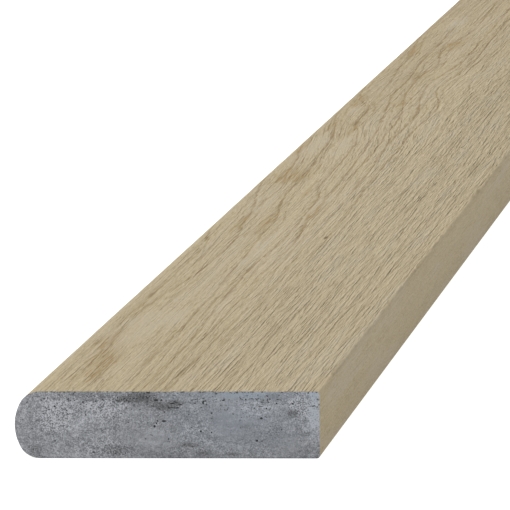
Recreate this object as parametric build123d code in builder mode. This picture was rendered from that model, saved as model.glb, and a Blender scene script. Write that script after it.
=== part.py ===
"""Bullnose decking board: one moulded plank with a rounded nose along one long edge.

The board lies flat as it is laid, with its face up. Units are millimetres.
+Y runs along the board, the rounded nose faces -X and the square edge faces +X.
The origin is on the underside, at the middle of the board's length and width.
"""

from build123d import *
import os

# Stock size
board_length = 3200.0
board_width = 150.0  # over the crown of the nose
board_thickness = 33.0

# The nose is three arcs: a shallow crown between two tighter corners
nose_bulge = 7.2  # how far the crown stands out from its own ends, before the corners are rounded
nose_corner_radius = 11.0

# Small eased arrises of the square edge
arris_radius = 1.5

# A corner can't be rounder than its share of the thickness, with some crown left between the two
roundest_corner = 0.45 * board_thickness

nose_tip = -board_width / 2
square_edge = board_width / 2
crown_end = nose_tip + nose_bulge


with BuildPart() as bullnose_board:
    with BuildSketch(Plane.XZ) as section:
        with BuildLine() as outline:
            underside = Line((square_edge, 0), (crown_end, 0))
            crown = ThreePointArc(
                underside @ 1,
                (nose_tip, board_thickness / 2),
                (crown_end, board_thickness),
            )
            face = Line(crown @ 1, (square_edge, board_thickness))
            Line(face @ 1, underside @ 0)
        make_face()
        nose_corners = section.vertices().group_by(Axis.X)[0]
        fillet(nose_corners, radius=min(nose_corner_radius, roundest_corner))
        arrises = section.vertices().group_by(Axis.X)[-1]
        fillet(arrises, radius=arris_radius)
    extrude(amount=board_length / 2, both=True)

bullnose_board.part.label = "bullnose_board"

os.makedirs("parts", exist_ok=True)
export_step(bullnose_board.part, "parts/bullnose_board.step")
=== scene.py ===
"""Dresses a moulded bullnose decking board: an oak grained face and nose, and bare mineral on its sawn ends.

Lengths in the file are metres unless a name or a comment says millimetres.
"""

import math
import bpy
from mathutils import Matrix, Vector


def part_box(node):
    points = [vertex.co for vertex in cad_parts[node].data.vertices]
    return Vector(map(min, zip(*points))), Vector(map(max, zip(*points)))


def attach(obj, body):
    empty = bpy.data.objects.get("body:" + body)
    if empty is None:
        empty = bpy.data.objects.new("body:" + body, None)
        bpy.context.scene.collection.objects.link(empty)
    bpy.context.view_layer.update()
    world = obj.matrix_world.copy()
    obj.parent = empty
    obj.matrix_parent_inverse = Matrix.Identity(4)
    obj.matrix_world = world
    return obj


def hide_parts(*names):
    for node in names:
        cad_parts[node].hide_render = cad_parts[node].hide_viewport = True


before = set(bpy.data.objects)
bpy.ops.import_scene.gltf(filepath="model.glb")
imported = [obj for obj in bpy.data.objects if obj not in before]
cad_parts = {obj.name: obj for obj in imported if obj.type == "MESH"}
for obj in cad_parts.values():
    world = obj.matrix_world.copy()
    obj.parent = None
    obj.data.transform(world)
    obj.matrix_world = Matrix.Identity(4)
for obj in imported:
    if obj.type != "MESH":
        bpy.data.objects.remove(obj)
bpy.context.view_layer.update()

from types import SimpleNamespace

import bmesh
import bpy
from bpy.props import FloatProperty, FloatVectorProperty, IntProperty, PointerProperty
from bpy.types import Operator, Panel, PropertyGroup
from mathutils import Vector

bl_info = {
    "name": "Bullnose Decking Board",
    "version": (1, 0, 0),
    "blender": (4, 5, 0),
    "location": "View3D > Sidebar > Decking",
    "description": "Models a moulded decking board with a rounded nose, oak grain and sawn mineral ends",
    "category": "Add Mesh",
}

NODE = "bullnose_board"
PIECE = "oak_effect_board"
LOW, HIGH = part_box(NODE)
LENGTH = HIGH.y - LOW.y
THICKNESS = HIGH.z - LOW.z
SQUARE_EDGE = HIGH.x
NOSE_TIP = -SQUARE_EDGE
MILLIMETRES = 1000.0  # in a metre
TOUCHING = 1e-5  # points nearer to each other than this are in one place
SMOOTH_ANGLE = math.radians(35)  # faces that meet at less than this are shaded as one

# Material slots of the board, and how squarely a face looks along the board to be a sawn end
OAK = 0
MINERAL = 1
ENDWAYS = 0.9


class BoardShape(PropertyGroup):
    """Sizes of the section's rounded edges and of the mesh that carries the grain."""

    nose_bulge: FloatProperty(
        name="Nose Bulge", description="How far the crown of the nose stands out from its own ends",
        default=0.0072, unit="LENGTH")
    nose_corner_radius: FloatProperty(
        name="Nose Corner Radius", description="Radius between the nose and the flats",
        default=0.011, unit="LENGTH")
    arris_radius: FloatProperty(
        name="Arris Radius", description="Radius of the square edge's two arrises",
        default=0.0015, unit="LENGTH")
    bays: IntProperty(
        name="Bays", description="Coarse divisions of the board along its length", default=9)
    rows_in_a_bay: IntProperty(
        name="Rows in a Bay", description="Rows of the mesh in each bay, which carry the grain", default=34)
    columns: IntProperty(
        name="Columns", description="Columns of the mesh across the flat of the face", default=216)
    edge_rows: IntProperty(
        name="Edge Rows", description="Rows of the mesh up the flat of the square edge", default=8)
    crown_steps: IntProperty(
        name="Crown Steps", description="Facets round the crown of the nose", default=14)
    corner_steps: IntProperty(
        name="Corner Steps", description="Facets round each corner of the nose", default=8)
    arris_steps: IntProperty(
        name="Arris Steps", description="Facets round each arris of the square edge", default=3)


class OakFigure(PropertyGroup):
    """Depth and colours of the grain."""

    relief: FloatProperty(
        name="Relief", description="Depth of the moulded grain", default=0.0004, unit="LENGTH")
    bump: FloatProperty(
        name="Bump", description="Depth of the fine grooves that only the material shows",
        default=0.0018, unit="LENGTH")
    pale: FloatVectorProperty(
        name="Latewood", description="Pale smooth bands", subtype="COLOR", size=3,
        default=(0.54, 0.45, 0.292))
    chalk: FloatVectorProperty(
        name="Chalk", description="Greyish cast of the pale patches", subtype="COLOR", size=3,
        default=(0.455, 0.4, 0.303))
    middle: FloatVectorProperty(
        name="Body", description="Main colour of the face", subtype="COLOR", size=3,
        default=(0.42, 0.342, 0.208))
    brown: FloatVectorProperty(
        name="Earlywood", description="Brown clusters of the earlywood", subtype="COLOR", size=3,
        default=(0.305, 0.235, 0.128))
    amber: FloatVectorProperty(
        name="Amber", description="Warm stain of the ring lines and the clusters", subtype="COLOR", size=3,
        default=(0.37, 0.258, 0.118))
    pore: FloatVectorProperty(
        name="Pores", description="Bottoms of the deepest pores", subtype="COLOR", size=3,
        default=(0.17, 0.12, 0.065))


class MineralCore(PropertyGroup):
    """Colours of the sawn ends, and the depth of their pits."""

    bump: FloatProperty(
        name="Bump", description="Depth of the pits and the grit", default=0.0004, unit="LENGTH")
    light: FloatVectorProperty(
        name="Light Mineral", description="Lightest grains of the sawn end", subtype="COLOR", size=3,
        default=(0.55, 0.565, 0.60))
    middle: FloatVectorProperty(
        name="Mineral", description="Main colour of the sawn end", subtype="COLOR", size=3,
        default=(0.29, 0.30, 0.32))
    dark: FloatVectorProperty(
        name="Dark Mineral", description="Cloudy dark parts of the sawn end", subtype="COLOR", size=3,
        default=(0.13, 0.133, 0.14))
    cool: FloatVectorProperty(
        name="Cool Mineral", description="Bluish parts near the face and the square edge",
        subtype="COLOR", size=3, default=(0.34, 0.40, 0.47))
    stain: FloatVectorProperty(
        name="Stain", description="Brownish cast of the smudges", subtype="COLOR", size=3,
        default=(0.15, 0.15, 0.14))
    # The pits' near-black colour is painted shade inside the open pores
    pit: FloatVectorProperty(
        name="Pits", description="Bottoms of the open pores", subtype="COLOR", size=3,
        default=(0.04, 0.04, 0.042))


class Studio(PropertyGroup):
    """Floor, light and camera."""

    floor_size: FloatProperty(
        name="Floor Size", description="Side of the square floor", default=60.0, unit="LENGTH")
    sky_strength: FloatProperty(
        name="Sky Strength", description="Strength of the even light from all round", default=0.62)
    sun_strength: FloatProperty(
        name="Key Strength", description="Strength of the soft key light", default=1.8)
    sun_softness: FloatProperty(
        name="Key Softness", description="Angle that the key light fills", default=math.radians(30),
        subtype="ANGLE")
    sun_from: FloatVectorProperty(
        name="Key From", description="Direction that the key light comes from", size=3,
        subtype="DIRECTION", default=(-0.55, 0.25, 0.8))
    camera_place: FloatVectorProperty(
        name="Camera Place", description="Where the camera stands", size=3, subtype="TRANSLATION",
        default=(0.4440, -5.5084, 0.4928))
    camera_turn: FloatVectorProperty(
        name="Camera Turn", description="How the camera is turned", size=3, subtype="EULER",
        default=(math.radians(84.2862), math.radians(0.6428), math.radians(5.7753)))
    camera_lens: FloatProperty(
        name="Camera Lens", description="Focal length on a sensor 36 mm wide, in millimetres", default=572.8)


class Wiring:
    """Adds nodes to one node tree. Numbers and sockets may be mixed freely as inputs.

    The functions that follow call theirs w.
    """

    def __init__(self, tree):
        self.tree = tree

    def feed(self, socket, value):
        """Links an input to an output socket, or sets it to a plain value."""
        if isinstance(value, bpy.types.NodeSocket):
            self.tree.links.new(value, socket)
        else:
            socket.default_value = value

    def node(self, kind, inputs=(), **settings):
        """A new node with the given settings, and with inputs given by name or number."""
        made = self.tree.nodes.new(kind)
        for name, value in settings.items():
            setattr(made, name, value)
        for key, value in dict(inputs).items():
            self.feed(made.inputs[key], value)
        return made

    def math(self, operation, *values):
        made = self.node("ShaderNodeMath", operation=operation)
        for socket, value in zip(made.inputs, values):
            self.feed(socket, value)
        return made.outputs[0]

    def add(self, *values):
        total = values[0]
        for value in values[1:]:
            total = self.math("ADD", total, value)
        return total

    def times(self, *values):
        product = values[0]
        for value in values[1:]:
            product = self.math("MULTIPLY", product, value)
        return product

    def linear(self, value, slope, start):
        """The start, and the slope times the value."""
        return self.add(self.times(value, slope), start)

    def step(self, value, low, high, to_low=0.0, to_high=1.0):
        """A smooth step from to_low at low to to_high at high."""
        made = self.node("ShaderNodeMapRange", interpolation_type="SMOOTHSTEP")
        for socket, number in zip(made.inputs, (value, low, high, to_low, to_high)):
            self.feed(socket, number)
        return made.outputs[0]

    def band(self, value, edges):
        """1 between two soft edges and 0 outside them. An edge is (where it is 0, where it is 1)."""
        return self.times(*[self.step(value, outside, inside) for outside, inside in edges])

    def vector(self, x, y, z):
        return self.node("ShaderNodeCombineXYZ", {0: x, 1: y, 2: z}).outputs[0]

    def split(self, vector):
        return self.node("ShaderNodeSeparateXYZ", {0: vector}).outputs

    def noise(self, point, cell, detail=2.0, roughness=0.5, shift=0.0):
        """Noise from about -0.5 to 0.5, with cells of the given size along each axis."""
        x, y, z = point
        at = self.vector(
            self.math("DIVIDE", x, cell[0]),
            self.math("DIVIDE", y, cell[1]),
            self.math("ADD", self.math("DIVIDE", z, cell[2]), shift))
        made = self.node(
            "ShaderNodeTexNoise",
            {"Vector": at, "Scale": 1.0, "Detail": detail, "Roughness": roughness},
            noise_dimensions="3D")
        return self.math("SUBTRACT", made.outputs[0], 0.5)

    def mound(self, place, hill):
        """A hill at a place (across, along), given by its own place, half width, half length and height."""
        at_across, at_along, half_width, half_length, height = hill
        aside = self.math("DIVIDE", self.math("SUBTRACT", place[0], at_across), half_width)
        ahead = self.math("DIVIDE", self.math("SUBTRACT", place[1], at_along), half_length)
        reach = self.add(self.times(aside, aside), self.times(ahead, ahead))
        return self.times(self.math("EXPONENT", self.times(reach, -1.0)), height)

    def mounds(self, base, place, hills):
        """A base value with several hills added to it."""
        return self.add(base, *[self.mound(place, hill) for hill in hills])

    def curve(self, value, points):
        """A smooth curve through a few points, each (input, output), both from 0 to 1."""
        made = self.node("ShaderNodeFloatCurve", {"Value": value})
        line = made.mapping.curves[0]
        while len(line.points) < len(points):
            line.points.new(0.5, 0.5)
        for dot, (at, height) in zip(line.points, points):
            dot.location = (at, height)
            dot.handle_type = "AUTO"
        made.mapping.update()
        return made.outputs[0]

    def ramp(self, value, stops):
        """A colour from a value, by stops of (value, colour) in rising order."""
        made = self.node("ShaderNodeValToRGB", {"Fac": value})
        line = made.color_ramp
        while len(line.elements) < len(stops):
            line.elements.new(1.0)
        for stop, (at, colour) in zip(line.elements, stops):
            stop.position = at
            stop.color = (*colour, 1.0)
        return made.outputs["Color"]

    def blend(self, share, under, over):
        """The colour under, covered by the plain colour over in the given share."""
        made = self.node("ShaderNodeMix", data_type="RGBA")
        self.feed(made.inputs[0], share)
        self.feed(made.inputs[6], under)
        self.feed(made.inputs[7], (*over, 1.0))
        return made.outputs[2]


# The figure is drawn in millimetres across, from the nose's tip, and in millimetres along, from the front
# end, before it is stretched along the board.
FACE_HEIGHT = THICKNESS * MILLIMETRES
FIGURE_LENGTH = 560.0
NOSE_UNROLLED = 0.9  # how far round the nose the figure goes on for each millimetre down

# The grain fades in between these: up towards the face, its look and then its relief, across towards the
# nose's tip, and up from the underside, its relief on the nose
GRAIN_FADE = (31.0, 32.9)
RELIEF_FADE = (31.6, 32.9)
NOSE_FADE = (14.0, 10.0)
NOSE_RELIEF_FADE = (2.0, 9.0)

# The growth rings that show most on the face. Each is a line through points of (along, across, strength).
RINGS = (
    ((0, 17, 0.2), (60, 16, 0.5), (76, 17, 0.9), (100, 17, 0.4), (125, 16.5, 0.9), (136, 12, 0.9),
     (145, 8, 0.5), (200, -4, 0.3), (320, 6, 0.3), (420, 3, 0.4), (560, 8, 0.4)),
    ((0, 42, 0.8), (10, 35.5, 1), (22, 31, 1), (40, 21.5, 0.9), (52, 19.3, 0.6), (75, 22.5, 0.9),
     (90, 27, 0.8), (118, 31, 0.8), (130, 31, 0.9), (148, 25.2, 1), (162, 22.3, 1), (186, 12.5, 0.6),
     (230, 2, 0.3), (330, 3, 0.3), (450, 10, 0.5), (560, 16, 0.4)),
    ((0, 25, 0.2), (140, 22, 0.1), (172, 24, 0.7), (190, 25, 0.6), (205, 20, 1), (218, 17, 1), (230, 14, 1),
     (245, 8, 0.8), (290, -2, 0.3), (430, 0, 0.3), (560, 4, 0.3)),
    ((0, 55, 0.4), (30, 50.5, 0.6), (50, 51.5, 1), (66, 50.5, 0.7), (93, 48.5, 0.8), (117, 45.5, 0.9),
     (132, 43.5, 0.4), (150, 43, 1), (166, 37, 0.9), (190, 31.8, 0.6), (204, 32.4, 1), (230, 27.6, 1),
     (247, 24.6, 1), (266, 18.5, 0.8), (285, 10.5, 0.6), (350, 2, 0.3), (560, 12, 0.3)),
    ((0, 61.5, 0.6), (27, 62.7, 0.9), (42, 62.3, 0.9), (54, 60, 0.8), (83, 57.4, 1), (106, 56, 1),
     (135, 59, 0.8), (160, 56.3, 1), (178, 54.6, 1), (190, 48.6, 0.9), (201, 47.7, 0.8), (228, 46, 0.6),
     (240, 44.7, 0.9), (260, 37.3, 1), (275, 29.6, 1), (289, 29, 1), (301, 22, 0.9), (312, 13, 0.7),
     (340, 5, 0.4), (560, 20, 0.4)),
    ((0, 68.5, 0.3), (54, 68, 0.5), (95, 66.5, 0.4), (131, 66.4, 1), (150, 63, 1), (178, 60.5, 0.5),
     (210, 57, 0.7), (243, 53, 0.9), (265, 48.2, 1), (284, 43, 1), (302, 37.5, 0.8), (316, 34.3, 0.9),
     (332, 34.8, 0.9), (352, 33, 1), (366, 30.7, 0.9), (400, 30, 0.7), (470, 27, 0.6), (560, 34, 0.5)),
    ((0, 74, 0.5), (35, 74.5, 0.6), (68, 75.3, 0.4), (110, 71, 0.6), (150, 68, 0.2), (205, 62, 0.5),
     (236, 61, 0.7), (262, 57.3, 0.8), (284, 54.8, 1), (298, 50, 1), (312, 44.5, 1), (324, 42, 0.9),
     (346, 41.5, 1), (362, 45, 0.9), (380, 39, 1), (390, 38, 1), (420, 45, 0.7), (490, 41, 0.6),
     (560, 45, 0.5)),
    ((0, 80, 0.2), (60, 80.5, 0.3), (120, 76, 0.3), (180, 72.5, 0.8), (204, 70.4, 1), (230, 67.2, 0.9),
     (252, 65, 0.8), (272, 66.3, 0.8), (290, 64, 0.9), (311, 56.3, 1), (332, 53, 0.8), (347, 56, 0.8),
     (362, 60, 1), (400, 60.3, 0.8), (480, 57, 0.6), (560, 60, 0.5)),
    ((0, 87, 0.3), (100, 86, 0.3), (165, 81, 0.4), (206, 77, 0.6), (232, 76, 0.9), (262, 74, 0.9),
     (294, 75.3, 0.8), (312, 67, 0.9), (324, 62.5, 0.7), (345, 66.5, 0.8), (378, 69, 0.8), (410, 66.5, 0.7),
     (560, 70, 0.5)),
    ((0, 30, 0.1), (318, 25, 0.3), (342, 21.7, 0.9), (356, 18.7, 0.9), (378, 18, 0.8), (396, 12.5, 1),
     (430, 6, 0.5), (560, 24, 0.4)),
)
RING_REACH = (-30.0, 130.0)  # the least and the greatest across that a ring's line can have

# The soft edges of what each ring shows, in millimetres past its line, away from the nose
DARK_LINE = ((0.6, 0.3), (-1.3, -0.1))
SECOND_LINE = ((5.1, 4.8), (4.0, 4.5))
SECOND_STRENGTH = 0.55
POROUS_WOOD = ((1.6, 0.3), (-5.5, -1.0))

# Pale smooth latewood: across, along, half width, half length, strength
PALE_PATCHES = (
    (30.0, 50.0, 9.0, 24.0, 1.0),
    (44.0, 58.0, 6.0, 13.0, 0.9),
    (49.0, 124.0, 5.0, 24.0, 0.8),
    (24.0, 170.0, 9.0, 20.0, 0.8),
    (18.0, 241.0, 7.0, 24.0, 1.0),
    (37.0, 243.0, 8.0, 22.0, 0.9),
    (20.0, 290.0, 5.0, 8.0, 0.9),
    (26.0, 440.0, 9.0, 20.0, 0.8),
)

# Warm clusters of pores in the earlywood, given in the same way
PORE_CLUSTERS = (
    (29.0, 20.0, 8.0, 15.0, 1.0),
    (20.0, 38.0, 5.0, 12.0, 0.9),
    (38.0, 148.0, 5.0, 14.0, 1.0),
    (24.0, 148.0, 3.5, 12.0, 0.8),
    (23.0, 204.0, 12.0, 10.0, 1.2),
    (61.0, 160.0, 3.5, 9.0, 1.1),
    (44.0, 185.0, 2.5, 12.0, 1.0),
    (10.0, 240.0, 3.0, 13.0, 1.0),
    (32.0, 261.0, 2.5, 12.0, 1.0),
    (15.0, 268.0, 3.5, 10.0, 1.0),
    (46.0, 302.0, 6.0, 9.0, 0.7),
    (14.0, 306.0, 4.0, 12.0, 1.0),
    (40.0, 347.0, 8.0, 12.0, 0.6),
    (44.0, 396.0, 9.0, 13.0, 1.0),
    (16.0, 388.0, 5.0, 14.0, 0.9),
)

# How far the fibres lean towards the nose, at shares of the length, as shares of the greatest lean
GREATEST_LEAN = 30.0
LEAN = (
    (0.0, 0.03), (0.15, 0.0), (0.36, 0.02), (0.43, 0.27), (0.57, 0.83), (0.64, 0.6), (0.8, 0.5), (1.0, 0.2))

STRAND_OFFSET = 22.0  # how far along the board neighbouring strands can be apart in the figure
STRIA_SIDE = 0.25  # half the way from a fine groove's flank with painted shade to its flank with painted highlight

# A pin knot: across, along, and its half width and half length
PIN_KNOT = (82.5, 134.0, 0.85, 1.3)
KNOT_CALM = 2.6  # the grooves fade round the knot, over so many times its size

# A broad lighter part of the face and a slightly darker one, given as the patches are
BROAD_TONES = (
    (75.0, 180.0, 30.0, 110.0, 0.09),
    (32.0, 50.0, 22.0, 35.0, -0.04),
)


def ring_marks(w, girth, share):
    """The dark line of each ring, and the porous wood beside it, both from 0 to 1."""
    low, high = RING_REACH
    line = 0.0
    porous = 0.0
    for points in RINGS:
        place = w.curve(
            share, [(along / FIGURE_LENGTH, (across - low) / (high - low)) for along, across, _ in points])
        strength = w.curve(share, [(along / FIGURE_LENGTH, strong) for along, _, strong in points])
        aside = w.math("SUBTRACT", girth, w.linear(place, high - low, low))
        dark = w.times(w.band(aside, DARK_LINE), strength)
        second = w.times(w.band(aside, SECOND_LINE), strength, SECOND_STRENGTH)
        beside = w.times(w.band(aside, POROUS_WOOD), strength)
        line = w.math("MAXIMUM", w.math("MAXIMUM", dark, second), line)
        porous = w.math("MAXIMUM", beside, porous)
    return line, porous


def oak_fields(w, position):
    """The growth rings and grooves at a position, as named values, for the mesh and for the material."""
    x, y, z = w.split(position)
    across = w.times(w.math("SUBTRACT", x, NOSE_TIP), MILLIMETRES)
    share = w.math("DIVIDE", w.math("SUBTRACT", y, LOW.y), LENGTH)
    along = w.times(share, FIGURE_LENGTH)
    up = w.times(z, MILLIMETRES)
    girth = w.add(across, w.times(w.math("SUBTRACT", up, FACE_HEIGHT), NOSE_UNROLLED))
    point = (girth, along, up)

    # The fibres wander on the nose's side of the face, and run straight towards the square edge
    straight = w.step(w.add(across, w.times(w.noise(point, (50.0, 90.0, 90.0), shift=3.1), 50.0)), 50.0, 95.0)
    loose = w.linear(straight, -0.8, 1.0)
    lean = w.times(w.curve(share, LEAN), GREATEST_LEAN, w.step(across, 35.0, 110.0, 0.75, 0.12))
    broad = w.times(w.noise(point, (50.0, 80.0, 90.0), detail=1.0, shift=41.0), loose, 7.0)
    wavy = w.noise(point, (9.0, 16.0, 40.0), shift=7.7)
    kinked = w.times(w.noise(point, (2.6, 4.0, 30.0), detail=1.0, shift=37.0), 0.9)
    fibre = w.add(girth, lean, broad, w.times(wavy, loose, 1.6), kinked)
    fibred = (fibre, along, up)

    # Each thin strand of fibres meets the rings and patches a little sooner or later than the next one
    strand = w.times(w.noise(fibred, (0.9, 14.0, 60.0), detail=1.0, shift=1.3), STRAND_OFFSET)
    met = w.add(along, strand)
    ragged = w.noise(point, (1.1, 5.0, 30.0), detail=1.0, roughness=0.6, shift=33.0)
    feathered = w.times(strand, w.step(along, 40.0, 190.0, 1.3, 0.45))
    line, porous = ring_marks(
        w, w.add(girth, w.times(wavy, 2.6), w.times(ragged, 2.5)),
        w.math("DIVIDE", w.add(along, feathered), FIGURE_LENGTH))
    broken = w.noise(fibred, (1.3, 9.0, 60.0), detail=3.0, roughness=0.6, shift=21.0)
    line = w.times(line, w.step(broken, -0.14, 0.06, 0.35, 1.15), w.step(along, 40.0, 190.0, 0.65))

    spread = w.times(w.noise(point, (5.0, 9.0, 30.0), detail=3.0, roughness=0.6, shift=17.0), 1.9)
    pale = w.step(w.mounds(spread, (girth, met), PALE_PATCHES), 0.25, 1.0)
    cluster = w.step(w.mounds(spread, (girth, met), PORE_CLUSTERS), 0.25, 0.85)

    return SimpleNamespace(
        across=across, along=along, up=up, girth=girth, point=point, fibred=fibred,
        straight=straight, pale=pale, cluster=cluster, porous=porous,
        line=w.times(line, w.linear(pale, -0.4, 1.0)),
        furrow=w.noise(fibred, (3.1, 60.0, 60.0), roughness=0.6, shift=71.0))


def grain_height(w, oak):
    """Moulded relief from about -1 in the deepest groove to 0 on the ridges."""
    height = w.add(
        w.times(oak.porous, -0.12),
        w.times(oak.line, -0.5),
        w.times(oak.furrow, w.linear(oak.straight, 0.8, 1.2)),
        w.times(oak.pale, 0.2),
        -0.4)
    return w.math("MINIMUM", height, 0.0)


def new_group(name, kind, inputs, outputs):
    """A node group with named sockets. Returns (group, input node, output node)."""
    group = bpy.data.node_groups.new(name, kind)
    for socket, socket_type in inputs:
        group.interface.new_socket(socket, in_out="INPUT", socket_type=socket_type)
    for socket, socket_type in outputs:
        group.interface.new_socket(socket, in_out="OUTPUT", socket_type=socket_type)
    return group, group.nodes.new("NodeGroupInput"), group.nodes.new("NodeGroupOutput")


def effect_group(name):
    """A shader node group from a position in metres to a colour, a roughness and a height."""
    return new_group(
        name, "ShaderNodeTree",
        [("Position", "NodeSocketVector")],
        [("Color", "NodeSocketColor"), ("Roughness", "NodeSocketFloat"), ("Height", "NodeSocketFloat")])


def striae(w, oak, aside):
    """Height of the fine grooves, read a little to one side of the position."""
    fibre, along, up = oak.fibred
    at = (w.add(fibre, aside), along, up)
    thread = w.noise(at, (4.0, 50.0, 60.0), detail=1.0, roughness=0.4, shift=91.0)
    thread = w.step(w.math("ABSOLUTE", thread), 0.04, 0.01)
    groove = w.noise(at, (1.3, 20.0, 60.0), detail=1.0, roughness=0.6, shift=5.0)
    tick = w.noise(at, (0.8, 5.0, 60.0), detail=1.0, roughness=0.6, shift=61.0)
    return w.add(
        w.times(thread, oak.bold, w.linear(oak.straight, -0.02, -0.15)),
        w.times(groove, oak.bold, w.linear(oak.straight, 0.2, 0.26)),
        w.times(tick, oak.bold, w.linear(oak.straight, 0.25, 0.38)))


def add_fine_detail(w, oak):
    """Adds the values that only the material needs to those of the rings and grooves."""
    # The grain is on the face and the nose, and the rest of the skin is plain
    face = w.step(oak.up, *GRAIN_FADE)
    nose = w.step(oak.across, *NOSE_FADE)
    oak.grained = w.math("MAXIMUM", face, nose)
    oak.plain = w.linear(oak.grained, -1.0, 1.0)

    place = (oak.across, oak.along)
    knot_across, knot_along, knot_width, knot_length = PIN_KNOT
    oak.knot = w.mound(place, (*PIN_KNOT, 1.0))
    round_knot = w.mound(
        place, (knot_across, knot_along, KNOT_CALM * knot_width, KNOT_CALM * knot_length, -0.85))

    # How deep and how strongly marked the grooves are
    oak.carved = w.times(
        w.linear(oak.pale, -0.6, 1.0), w.linear(oak.straight, 0.3, 0.8), w.add(round_knot, 1.0))
    oak.bold = w.step(oak.along, 60.0, 260.0, 1.0, 1.3)
    # The fine grooves read to either side of the position, for their depth and for the painted highlight and
    # shade on their flanks
    oak.left = striae(w, oak, -STRIA_SIDE)
    oak.right = striae(w, oak, STRIA_SIDE)

    crowd = w.add(w.times(oak.porous, 0.07), w.times(oak.cluster, 0.09), w.times(oak.pale, -0.10))
    comb = w.noise(oak.fibred, (1.0, 6.0, 60.0), detail=1.0, shift=11.0)
    oak.pores = w.step(w.add(comb, crowd), 0.16, 0.20)
    oak.fleck = w.noise(oak.fibred, (0.6, 1.4, 20.0), detail=1.0, roughness=0.6, shift=55.0)
    oak.dots = w.times(w.step(oak.fleck, -0.02, 0.1), oak.cluster)
    oak.cloud = w.noise(oak.fibred, (10.0, 40.0, 60.0), shift=27.0)
    oak.mottle = w.noise(oak.point, (9.0, 9.0, 9.0), detail=4.0, roughness=0.85, shift=13.0)
    oak.far = w.step(oak.along, 200.0, 420.0)


def oak_tone(w, oak):
    """How light the skin is, from 0 in the deepest pores to 1 on the palest latewood, with painted highlight
    and painted shade on the flanks of the fine grooves and painted shade on the nose.
    """
    depth = w.times(w.add(oak.left, oak.right), 0.5)
    # Painted highlight on the flank of each fine groove that faces the nose's side, and painted shade on its
    # other flank, as if lit from the nose's side
    painted_flank_shading = w.math("SUBTRACT", oak.right, oak.left)
    grain = w.add(
        0.71,
        w.times(oak.pale, 0.04),
        w.times(oak.cluster, -0.03),
        w.times(oak.dots, -0.11),
        w.times(oak.porous, -0.06),
        w.times(oak.line, -0.6),
        w.times(oak.line, w.step(oak.fleck, -0.02, 0.08), -0.3),
        w.times(oak.fleck, oak.bold, w.linear(oak.straight, -0.45, 0.75)),
        w.times(oak.cloud, 0.06),
        w.times(oak.far, -0.06),
        w.times(oak.furrow, oak.carved, 0.25),
        w.times(depth, oak.carved, 0.55),
        # painted highlight and painted shade on the flanks of the fine grooves
        w.times(painted_flank_shading, oak.carved, 0.9),
        w.times(oak.pores, w.linear(oak.cluster, -0.15, -0.2)),
        w.times(oak.knot, -1.5),
        # Painted shade round the nose, darker from 8 mm of girth towards its tip
        w.times(w.step(oak.girth, 8.0, 2.0), -0.15))
    grain = w.mounds(grain, (oak.across, oak.along), BROAD_TONES)
    fine = w.noise(oak.point, (0.9, 0.6, 0.9), detail=1.0, shift=43.0)
    return w.add(
        w.times(w.add(grain, -0.58), w.linear(oak.grained, 0.75, 0.25)),
        w.times(w.add(w.times(oak.mottle, 0.4), w.times(fine, 0.9)), oak.plain),
        0.57)


def oak_colour(w, oak, figure):
    """Colour of the skin: a ramp on its tone, then a greyish cast and a warm one."""
    colour = w.ramp(
        oak_tone(w, oak),
        ((0.0, figure.pore), (0.3, figure.brown), (0.6, figure.middle), (1.0, figure.pale)))
    chalky = w.add(w.times(oak.pale, 1.6), w.step(oak.cloud, 0.0, 0.15, to_high=1.1))
    colour = w.blend(w.times(chalky, 0.26), colour, figure.chalk)
    warm = w.add(
        w.times(oak.line, 0.6), w.times(oak.cluster, 0.18), w.times(oak.dots, 0.3),
        w.times(oak.pores, oak.cluster, 0.35))
    warm = w.add(w.times(warm, w.step(oak.along, 30.0, 140.0, 0.8, 1.05)), w.times(oak.far, 0.05))
    colour = w.blend(w.times(warm, oak.grained), colour, figure.amber)

    # The plain skin is a little warm in places, and along the upper arris
    arris = w.times(w.step(oak.across, 147.0, 149.5), w.step(oak.up, 26.0, 31.0))
    warm = w.times(w.add(arris, w.step(oak.mottle, 0.02, 0.2)), oak.plain, 0.1)
    return w.blend(warm, colour, figure.amber)


def oak_grain_group(figure):
    """Colour, roughness and height of the oak effect."""
    group, entry, out = effect_group("oak_grain")
    w = Wiring(group)
    oak = oak_fields(w, entry.outputs["Position"])
    add_fine_detail(w, oak)
    height = w.add(w.times(oak.furrow, 0.35), w.times(oak.right, 0.9))
    w.feed(out.inputs["Color"], oak_colour(w, oak, figure))
    w.feed(out.inputs["Roughness"], w.linear(oak.pores, 0.15, 0.68))
    w.feed(out.inputs["Height"], w.times(height, oak.carved, w.linear(oak.grained, 0.9, 0.1)))
    return group


# What the sawn ends show, in millimetres: across from the nose's tip, up, half width, half height,
# and a strength. The smudges, the pits and the calm patches are on the front end alone.
SMUDGES = (
    (55.0, 28.8, 7.0, 1.5, 0.9),
    (63.0, 30.0, 7.0, 3.0, 0.9),
    (73.0, 25.5, 9.0, 2.8, 1.0),
    (81.0, 27.5, 5.0, 1.5, 0.6),
    (10.0, 4.5, 5.0, 3.0, 0.8),
    (12.0, 18.5, 3.0, 1.5, 0.5),
    (137.0, 22.0, 3.5, 2.5, 0.9),
    (113.5, 15.5, 4.0, 2.0, 0.6),
    (86.0, 6.5, 6.0, 1.4, 1.0),
    (93.0, 2.5, 5.0, 2.0, 0.8),
    (107.0, 2.0, 5.0, 1.3, 0.8),
    (129.0, 14.0, 6.0, 7.0, 0.5),
    (50.0, 4.0, 9.0, 4.0, 0.7),
    (78.0, 14.0, 3.0, 3.0, 0.6),
    (128.0, 30.5, 4.0, 1.8, 0.6),
    (33.0, 24.0, 4.0, 3.0, 0.5),
    (50.0, 20.0, 5.0, 2.5, 0.5),
)
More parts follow.
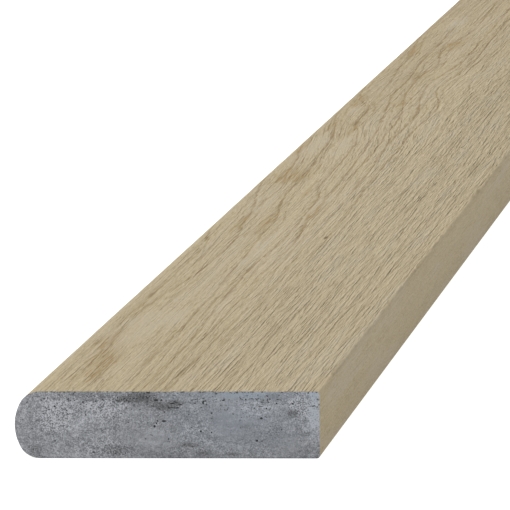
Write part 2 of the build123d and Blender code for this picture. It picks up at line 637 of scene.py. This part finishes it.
PITS = (
    (70.0, 28.6, 1.2, 0.5, 1.0),
    (72.6, 28.6, 0.5, 0.5, 0.9),
    (66.0, 32.2, 1.4, 0.5, 0.8),
    (78.0, 27.0, 1.8, 0.5, 0.7),
    (82.0, 26.4, 0.7, 0.4, 0.8),
    (80.3, 24.8, 1.0, 0.35, 0.9),
    (73.7, 18.3, 1.2, 0.5, 1.0),
    (70.6, 18.4, 0.4, 0.6, 0.8),
    (70.0, 17.2, 0.4, 0.6, 0.7),
    (69.0, 15.7, 0.6, 0.7, 1.0),
    (93.0, 27.4, 0.5, 1.0, 0.9),
    (94.2, 28.2, 0.8, 0.4, 0.8),
    (89.0, 27.0, 0.5, 0.5, 0.8),
    (97.2, 22.2, 0.5, 0.5, 0.8),
    (91.7, 13.3, 0.6, 0.6, 0.9),
    (97.0, 12.8, 0.5, 0.5, 0.7),
    (34.0, 27.6, 0.5, 0.7, 0.9),
    (20.0, 25.5, 0.6, 0.6, 0.8),
    (42.5, 26.2, 0.4, 0.5, 0.7),
    (20.0, 8.5, 0.6, 0.6, 0.7),
    (39.0, 3.0, 0.9, 0.5, 0.7),
    (62.0, 24.0, 0.4, 0.5, 0.7),
    (121.5, 19.7, 0.8, 0.6, 0.9),
    (118.0, 24.5, 0.4, 0.5, 0.8),
    (124.0, 24.5, 0.5, 0.5, 0.8),
    (119.2, 8.7, 0.6, 0.6, 1.0),
    (114.0, 29.0, 0.4, 0.5, 0.8),
    (103.0, 28.5, 0.9, 0.4, 0.8),
    (129.0, 27.0, 0.5, 0.5, 0.8),
    (137.0, 26.8, 0.8, 0.5, 0.8),
)
CALMS = (
    (66.0, 9.0, 14.0, 6.0, 1.0),
    (57.0, 23.0, 6.0, 4.0, 0.8),
    (107.0, 18.0, 12.0, 10.0, 1.0),
    (134.0, 7.0, 9.0, 6.0, 0.8),
    (105.0, 31.0, 9.0, 2.0, 0.8),
)
SPARKLES = (
    (20.0, 21.0, 9.0, 9.0, 1.0),
    (45.0, 25.0, 14.0, 7.0, 0.7),
    (45.0, 5.0, 14.0, 5.0, 0.6),
    (142.0, 27.0, 7.0, 6.0, 1.2),
    (117.0, 25.0, 9.0, 5.0, 0.6),
    (92.0, 14.0, 8.0, 9.0, 0.4),
)
COOL_PATCH = (110.0, 20.0, 26.0, 13.0, 0.7)
SKIM = (114.0, 32.0, 11.0, 2.5, 1.0)

# Courses of fine pits: up, half height, strength
PIT_COURSES = (
    (28.5, 0.8, 0.05),
    (32.7, 0.6, 0.11),
)


def mineral_fields(w, position):
    """The speckle and the marks of a sawn end at a position, as named values."""
    x, y, z = w.split(position)
    across = w.times(w.math("SUBTRACT", x, NOSE_TIP), MILLIMETRES)
    up = w.times(z, MILLIMETRES)
    place = (across, up)
    point = (across, w.times(y, MILLIMETRES), up)
    front = w.step(y, -0.1, 0.1, 1.0, 0.0)  # 1 at the front end and 0 at the far one

    mottle = w.noise(point, (3.2, 3.2, 2.2), detail=3.0, roughness=0.7, shift=4.0)
    ragged = w.times(mottle, 1.7)
    smudge = w.times(w.step(w.mounds(ragged, place, SMUDGES), 0.15, 1.1), front)
    sparkle = w.step(w.mounds(ragged, place, SPARKLES), 0.1, 0.9)
    calm = w.times(w.step(w.mounds(ragged, place, CALMS), 0.1, 0.8), front)
    marks = w.times(w.step(w.mounds(w.times(mottle, 0.5), place, PITS), 0.35, 0.6), front)

    # Fine pits crowd along a line under the face and right under it, and thin out towards the underside
    crowd = w.add(
        w.times(w.step(up, 10.0, 30.0), 0.05),
        *[w.mound((up, 0.0), (height, 0.0, half, 1.0, strong)) for height, half, strong in PIT_COURSES],
        w.times(sparkle, 0.01),
        w.times(smudge, 0.05),
        w.times(mottle, -0.14))
    pit = w.noise(point, (1.15, 1.15, 0.9), detail=1.0, shift=12.0)

    return SimpleNamespace(
        across=across, up=up, place=place,
        mottle=mottle, smudge=smudge, sparkle=sparkle, calm=calm, marks=marks,
        pits=w.step(w.add(pit, crowd), 0.22, 0.29),
        cloud=w.noise(point, (24.0, 24.0, 8.0)),
        speck=w.noise(point, (0.62, 0.62, 0.55), detail=1.0, roughness=0.6, shift=8.0),
        corner=w.times(w.step(w.add(across, w.times(mottle, 10.0)), 142.5, 147.5), w.step(up, 6.0, 22.0)),
        top=w.step(up, 27.0, 31.0),
        skim=w.mound(place, SKIM))


def mineral_tone(w, end):
    """How light the mineral is, from 0 in its dark clouds to 1 on its lightest grains, with a painted shade
    line along the bottom edge.
    """
    grit = w.add(
        w.times(end.sparkle, 2.6), w.times(end.smudge, 0.8), w.times(end.calm, -0.9),
        w.times(end.corner, 1.4), 1.5)
    return w.add(
        0.53,
        w.times(end.cloud, 0.7),
        w.times(end.mottle, w.linear(end.calm, -0.5, 1.1)),
        w.times(end.speck, grit),
        w.times(end.sparkle, 0.16),
        w.times(end.smudge, -0.42),
        w.times(end.corner, 0.6),
        w.times(end.skim, 0.1),
        w.times(end.top, w.step(end.across, 100.0, 60.0), -0.14),
        w.times(w.step(end.across, 80.0, 40.0), 0.04),
        # Painted shade in a thin line along the bottom edge
        w.times(w.step(end.up, 0.9, 0.2), -0.25))


def sawn_mineral_group(core):
    """Colour, roughness and height of the sawn mineral."""
    group, entry, out = effect_group("sawn_mineral")
    w = Wiring(group)
    end = mineral_fields(w, entry.outputs["Position"])
    colour = w.ramp(mineral_tone(w, end), ((0.0, core.dark), (0.5, core.middle), (1.0, core.light)))
    cool = w.add(
        w.times(end.top, w.step(end.across, 60.0, 100.0), 0.5),
        w.times(end.corner, 0.8),
        w.times(end.skim, 0.8),
        w.mound(end.place, COOL_PATCH))
    colour = w.blend(w.times(cool, 0.4), colour, core.cool)
    colour = w.blend(w.times(end.smudge, 0.35), colour, core.stain)
    # How deep the pits and marks are for the bump, and how far painted shade fills them in the colour
    pit_depth_and_shade = w.math("MAXIMUM", w.times(end.pits, 0.75), w.times(end.marks, 0.97))
    height = w.add(w.times(end.speck, 0.4), w.times(pit_depth_and_shade, -1.0), w.times(end.mottle, 0.4))
    w.feed(out.inputs["Color"], w.blend(pit_depth_and_shade, colour, core.pit))
    w.feed(out.inputs["Roughness"], w.linear(end.speck, 0.2, 0.8))
    w.feed(out.inputs["Height"], height)
    return group


def finish_material(name, group, bump_distance):
    """A material whose shader takes its colour, roughness and bump from a group."""
    material = bpy.data.materials.new(name)
    material.use_nodes = True
    tree = material.node_tree
    tree.nodes.clear()
    w = Wiring(tree)
    place = w.node("ShaderNodeTexCoord")
    effect = w.node("ShaderNodeGroup", node_tree=group)
    w.feed(effect.inputs["Position"], place.outputs["Object"])
    bump = w.node("ShaderNodeBump", {"Strength": 1.0, "Distance": bump_distance})
    w.feed(bump.inputs["Height"], effect.outputs["Height"])
    shader = w.node("ShaderNodeBsdfPrincipled", {"Specular IOR Level": 0.2})
    w.feed(shader.inputs["Base Color"], effect.outputs["Color"])
    w.feed(shader.inputs["Roughness"], effect.outputs["Roughness"])
    w.feed(shader.inputs["Normal"], bump.outputs["Normal"])
    surface = w.node("ShaderNodeOutputMaterial")
    w.feed(surface.inputs["Surface"], shader.outputs[0])
    return material


def relief_group(figure):
    """Geometry nodes that press the moulded grain into the face and the nose."""
    group, entry, out = new_group(
        "moulded_grain", "GeometryNodeTree",
        [("Geometry", "NodeSocketGeometry")], [("Geometry", "NodeSocketGeometry")])
    w = Wiring(group)
    position = w.node("GeometryNodeInputPosition").outputs[0]
    oak = oak_fields(w, position)
    face = w.step(oak.up, *RELIEF_FADE)
    nose = w.times(w.step(oak.across, *NOSE_FADE), w.step(oak.up, *NOSE_RELIEF_FADE))
    depth = w.times(grain_height(w, oak), figure.relief, w.math("MAXIMUM", face, nose))
    normal = w.node("GeometryNodeInputNormal").outputs[0]
    offset = w.node("ShaderNodeVectorMath", {0: normal}, operation="SCALE")
    w.feed(offset.inputs["Scale"], depth)
    moved = w.node("GeometryNodeSetPosition")
    w.feed(moved.inputs["Geometry"], entry.outputs[0])
    w.feed(moved.inputs["Offset"], offset.outputs[0])
    w.feed(out.inputs[0], moved.outputs[0])
    return group


def clear_selection():
    """Leaves nothing selected, so that an operator acts only on what is picked next."""
    bpy.ops.object.select_all(action="DESELECT")


def pick(kind, wanted):
    """In edit mode, selects only the vertices, edges or faces that wanted() accepts."""
    mesh = bmesh.from_edit_mesh(bpy.context.object.data)
    for group in (mesh.verts, mesh.edges, mesh.faces):
        for item in group:
            item.select = False
    for item in getattr(mesh, kind):
        if wanted(item):
            item.select_set(True)
    mesh.select_flush_mode()
    bmesh.update_edit_mesh(bpy.context.object.data)


def near(a, b):
    """Whether two lengths are the same, apart from rounding."""
    return abs(a - b) < TOUCHING


def middle_of(edge):
    """The point halfway along an edge."""
    return (edge.verts[0].co + edge.verts[1].co) / 2


def runs_along(edge):
    """Whether an edge runs along the board, and not round its section."""
    return near(edge.verts[0].co.x, edge.verts[1].co.x) and near(edge.verts[0].co.z, edge.verts[1].co.z)


def crosses_face(edge):
    """Whether an edge lies in the face and runs across it."""
    return not runs_along(edge) and near(middle_of(edge).z, HIGH.z)


def sweep_round(centre_x, centre_z, angle, steps):
    """Carries the selected long edge round a centre in the section."""
    bpy.ops.mesh.spin(
        steps=steps, angle=angle, center=(centre_x, 0.0, centre_z), axis=(0.0, -1.0, 0.0))


def carry(x, z):
    """Carries the selected long edge straight on in the section."""
    bpy.ops.mesh.extrude_edges_move(TRANSFORM_OT_translate={"value": (x, 0.0, z)})


def model_section(shape):
    """The board's skin, made by walking one long edge right round the section."""
    half = THICKNESS / 2
    crown_radius = (half ** 2 + shape.nose_bulge ** 2) / (2 * shape.nose_bulge)
    corner = shape.nose_corner_radius
    crown_x = NOSE_TIP + crown_radius
    crown_angle = math.asin((half - corner) / (crown_radius - corner))
    nose_start = crown_x - math.sqrt((crown_radius - corner) ** 2 - (half - corner) ** 2)
    corner_angle = math.pi / 2 - crown_angle
    arris = shape.arris_radius
    flat_end = SQUARE_EDGE - arris
    flat = flat_end - nose_start

    bpy.ops.mesh.primitive_plane_add(size=1.0, location=(nose_start + flat / 2, 0.0, LOW.z))
    board = bpy.context.object
    board.name = PIECE
    board.scale = (flat, LENGTH, 1.0)
    bpy.ops.object.transform_apply(location=True, rotation=True, scale=True)
    bpy.ops.object.mode_set(mode="EDIT")
    bpy.ops.mesh.select_mode(type="EDGE")
    pick("edges", lambda e: near(middle_of(e).x, nose_start))
    sweep_round(nose_start, LOW.z + corner, corner_angle, shape.corner_steps)
    sweep_round(crown_x, LOW.z + half, 2 * crown_angle, shape.crown_steps)
    sweep_round(nose_start, HIGH.z - corner, corner_angle, shape.corner_steps)
    carry(flat, 0.0)
    sweep_round(flat_end, HIGH.z - arris, math.pi / 2, shape.arris_steps)
    carry(0.0, 2 * arris - THICKNESS)
    sweep_round(flat_end, LOW.z + arris, math.pi / 2, shape.arris_steps)
    bpy.ops.mesh.select_all(action="SELECT")
    bpy.ops.mesh.remove_doubles(threshold=TOUCHING)
    bpy.ops.mesh.normals_make_consistent(inside=False)
    divide_skin(shape, nose_start, flat_end)
    bpy.ops.object.mode_set(mode="OBJECT")
    return board


def divide_skin(shape, nose_start, flat_end):
    """Divides the skin for its relief: across the flat of the face, up the square edge and along."""
    pick("edges", lambda e: crosses_face(e) and near(middle_of(e).x, (nose_start + flat_end) / 2))
    bpy.ops.mesh.subdivide(number_cuts=shape.columns // 2 - 1)
    pick("edges", lambda e: crosses_face(e) and nose_start < middle_of(e).x < flat_end)
    bpy.ops.mesh.subdivide(number_cuts=1)
    pick("edges", lambda e: not runs_along(e) and near(middle_of(e).x, SQUARE_EDGE))
    bpy.ops.mesh.subdivide(number_cuts=shape.edge_rows - 1)
    for parts in (shape.bays, shape.rows_in_a_bay):
        pick("edges", runs_along)
        bpy.ops.mesh.subdivide(number_cuts=parts - 1)


def emboss(board, group):
    """Presses a relief into the board with a geometry nodes modifier, and applies it."""
    modifier = board.modifiers.new(group.name, "NODES")
    modifier.node_group = group
    bpy.ops.object.modifier_apply(modifier=modifier.name)


def close_ends():
    """Fills the board's two sawn ends."""
    bpy.ops.object.mode_set(mode="EDIT")
    bpy.ops.mesh.select_mode(type="EDGE")
    for end in (LOW.y, HIGH.y):
        pick("edges", lambda e: e.is_boundary and near(middle_of(e).y, end))
        bpy.ops.mesh.edge_face_add()
    bpy.ops.mesh.select_all(action="SELECT")
    bpy.ops.mesh.normals_make_consistent(inside=False)
    bpy.ops.object.mode_set(mode="OBJECT")


class DECKING_OT_board(Operator):
    """Model the board with its moulded oak grain and its sawn mineral ends"""

    bl_idname = "decking.board"
    bl_label = "Bullnose Board"

    def execute(self, context):
        settings = context.scene.decking
        clear_selection()
        board = model_section(settings.shape)
        emboss(board, relief_group(settings.oak))
        close_ends()
        clear_selection()
        board.select_set(True)
        context.view_layer.objects.active = board
        bpy.ops.object.shade_smooth_by_angle(angle=SMOOTH_ANGLE)
        oak, mineral = settings.oak, settings.mineral
        for finish in (
                finish_material("moulded_oak_effect", oak_grain_group(oak), oak.bump),
                finish_material("sawn_mineral_core", sawn_mineral_group(mineral), mineral.bump)):
            board.data.materials.append(finish)
        for face in board.data.polygons:
            face.material_index = MINERAL if abs(face.normal.y) > ENDWAYS else OAK
        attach(board, "root")
        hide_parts(NODE)
        return {"FINISHED"}


class DECKING_OT_studio(Operator):
    """Lay the pale floor and set the soft light and the camera"""

    bl_idname = "decking.studio"
    bl_label = "Studio"

    def execute(self, context):
        studio = context.scene.decking.studio
        clear_selection()
        bpy.ops.mesh.primitive_plane_add(size=studio.floor_size, location=(0.0, 0.0, LOW.z))
        floor = context.object
        floor.name = "pale_floor"
        floor.data.materials.append(floor_material())

        world = bpy.data.worlds.new("pale_studio")
        context.scene.world = world
        world.use_nodes = True
        sky = world.node_tree.nodes["Background"]
        sky.inputs["Color"].default_value = (1.0, 1.0, 1.0, 1.0)
        sky.inputs["Strength"].default_value = studio.sky_strength

        bpy.ops.object.light_add(type="SUN", location=studio.sun_from)
        key = context.object
        key.name = "soft_key"
        key.data.energy = studio.sun_strength
        key.data.angle = studio.sun_softness
        key.rotation_euler = Vector(studio.sun_from).to_track_quat("Z", "Y").to_euler()

        bpy.ops.object.camera_add(location=studio.camera_place, rotation=studio.camera_turn)
        camera = context.object
        camera.name = "camera"
        camera.data.sensor_width = 36.0
        camera.data.lens = studio.camera_lens
        camera.data.clip_start = 0.1
        camera.data.clip_end = 200.0
        context.scene.camera = camera
        context.scene.view_settings.view_transform = "Standard"
        return {"FINISHED"}


FLOOR_GREY = (0.4, 0.4, 0.4, 1.0)
FLOOR_GLOW = 0.5
SEEN_GLOW = 0.4  # more glow where the camera sees the floor itself


def floor_material():
    """Pale studio floor, lifted to white where the camera sees it."""
    material = bpy.data.materials.new("pale_floor")
    material.use_nodes = True
    w = Wiring(material.node_tree)
    shader = material.node_tree.nodes["Principled BSDF"]
    shader.inputs["Base Color"].default_value = FLOOR_GREY
    shader.inputs["Roughness"].default_value = 0.9
    shader.inputs["Emission Color"].default_value = (1.0, 1.0, 1.0, 1.0)
    seen = w.node("ShaderNodeLightPath").outputs["Is Camera Ray"]
    w.feed(shader.inputs["Emission Strength"], w.linear(seen, SEEN_GLOW, FLOOR_GLOW))
    return material


class DeckingSettings(PropertyGroup):
    """All that a user may change."""

    shape: PointerProperty(type=BoardShape)
    oak: PointerProperty(type=OakFigure)
    mineral: PointerProperty(type=MineralCore)
    studio: PointerProperty(type=Studio)


class DECKING_PT_panel(Panel):
    """Lists the board, its settings and the studio."""

    bl_label = "Bullnose Decking Board"
    bl_idname = "DECKING_PT_panel"
    bl_space_type = "VIEW_3D"
    bl_region_type = "UI"
    bl_category = "Decking"

    def draw(self, context):
        settings = context.scene.decking
        for operator, group in (
                (DECKING_OT_board.bl_idname, settings.shape),
                (None, settings.oak),
                (None, settings.mineral),
                (DECKING_OT_studio.bl_idname, settings.studio)):
            box = self.layout.box()
            if operator:
                box.operator(operator)
            for name in group.__annotations__:
                box.prop(group, name)


CLASSES = (
    BoardShape, OakFigure, MineralCore, Studio, DeckingSettings,
    DECKING_OT_board, DECKING_OT_studio, DECKING_PT_panel,
)


def register():
    for cls in CLASSES:
        bpy.utils.register_class(cls)
    bpy.types.Scene.decking = PointerProperty(type=DeckingSettings)


def unregister():
    del bpy.types.Scene.decking
    for cls in reversed(CLASSES):
        bpy.utils.unregister_class(cls)


def main():
    register()
    bpy.ops.decking.board()
    bpy.ops.decking.studio()


if __name__ == "__main__":
    main()
